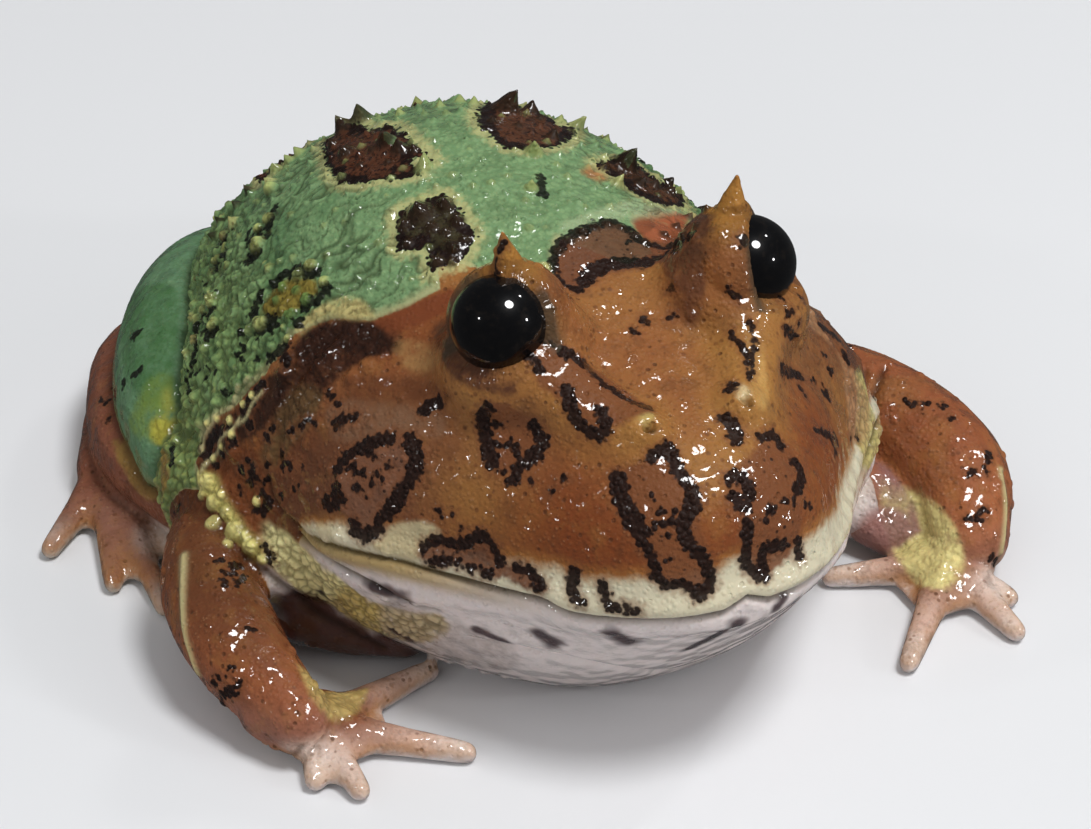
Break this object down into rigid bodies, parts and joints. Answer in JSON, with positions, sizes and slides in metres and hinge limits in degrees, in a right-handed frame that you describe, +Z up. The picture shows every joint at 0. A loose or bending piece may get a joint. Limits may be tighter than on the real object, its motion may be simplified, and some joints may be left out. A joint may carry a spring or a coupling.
{
  "type": "horned frog",
  "caption": "Sitting horned frog: a broad low body, a very wide mouth, raised round eyes under small pointed horns, folded hind legs and spread hands.",
  "frame": {"origin": "on the floor, under the centre of the frog's box", "axes": "+Z up, the head faces -Y, and the frog's right side is towards -X"},
  "size_m": [0.0644, 0.0642, 0.0338],
  "materials": {
    "back": "wet, warty skin, mint green",
    "head": "wet skin, orange brown",
    "throat": "smooth pale skin",
    "eye": "glossy black",
    "horn": "ochre skin",
    "front_leg": "wet skin, red brown",
    "foot": "smooth pink skin",
    "thigh": "smooth wet skin, deep green",
    "shank": "wet skin, pinkish brown"
  },
  "bodies": {
    "root": {"torso": "back", "head": "head", "lower_jaw": "throat", "eye_left": "eye", "eye_right": "eye", "horn_left": "horn", "horn_right": "horn", "front_leg_left": "front_leg", "front_leg_right": "front_leg", "front_foot_left": "foot", "front_foot_right": "foot", "thigh_left": "thigh", "thigh_right": "thigh", "shank_left": "shank", "shank_right": "shank", "hind_foot_left": "foot", "hind_foot_right": "foot"}
  },
  "joints": []
}
